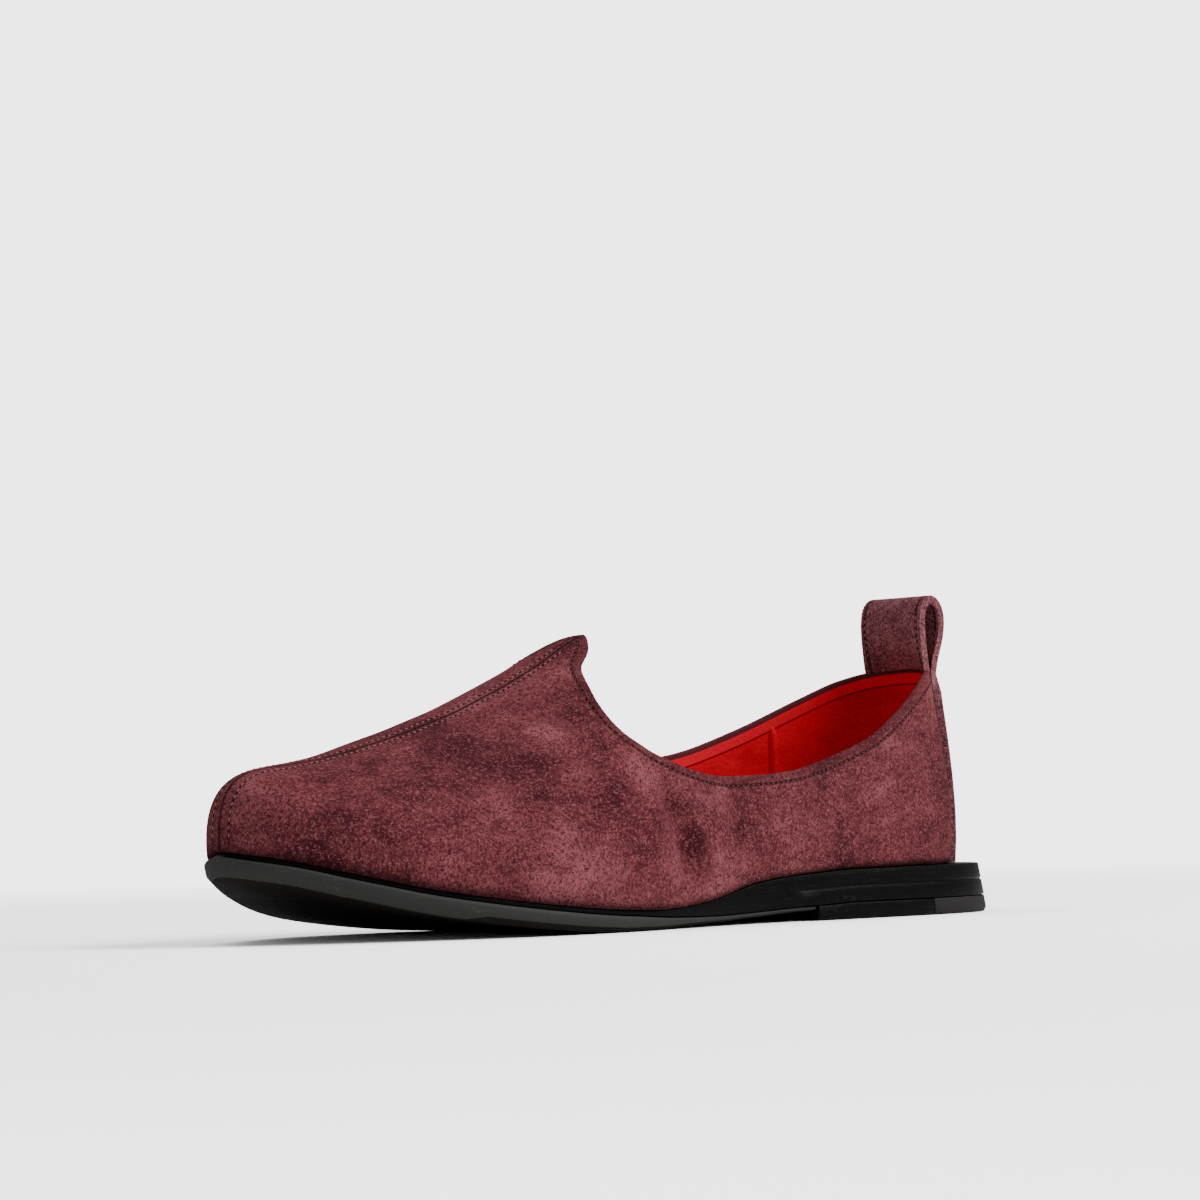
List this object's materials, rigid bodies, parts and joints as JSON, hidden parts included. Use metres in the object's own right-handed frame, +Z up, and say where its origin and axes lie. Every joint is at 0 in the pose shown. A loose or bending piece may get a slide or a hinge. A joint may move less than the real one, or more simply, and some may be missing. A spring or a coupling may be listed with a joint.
{
  "type": "low slip-on shoe",
  "caption": "Low slip-on suede shoe with an open collar, a centre seam, a pull loop at the heel and a thin stepped sole with a low heel.",
  "frame": {"origin": "middle of the shoe's bounding box, on the floor under it", "axes": "+X towards the toe, +Y towards the wearer's left, which is the outer side of this left shoe, +Z up"},
  "size_m": [0.2922, 0.0958, 0.0999],
  "materials": {
    "suede": "burgundy suede with a mottled nap",
    "strap": "darker burgundy suede",
    "lining": "red felted lining",
    "black_sole": "polished black edge",
    "grey_sole": "matt dark grey",
    "heel_black": "polished black edge",
    "tip_rubber": "dark grey rubber"
  },
  "bodies": {
    "root": {"upper": "suede", "back_strap": "strap", "insole": "lining", "midsole": "black_sole", "outsole": "grey_sole", "heel_lift": "heel_black", "heel_tip": "tip_rubber"}
  },
  "joints": []
}
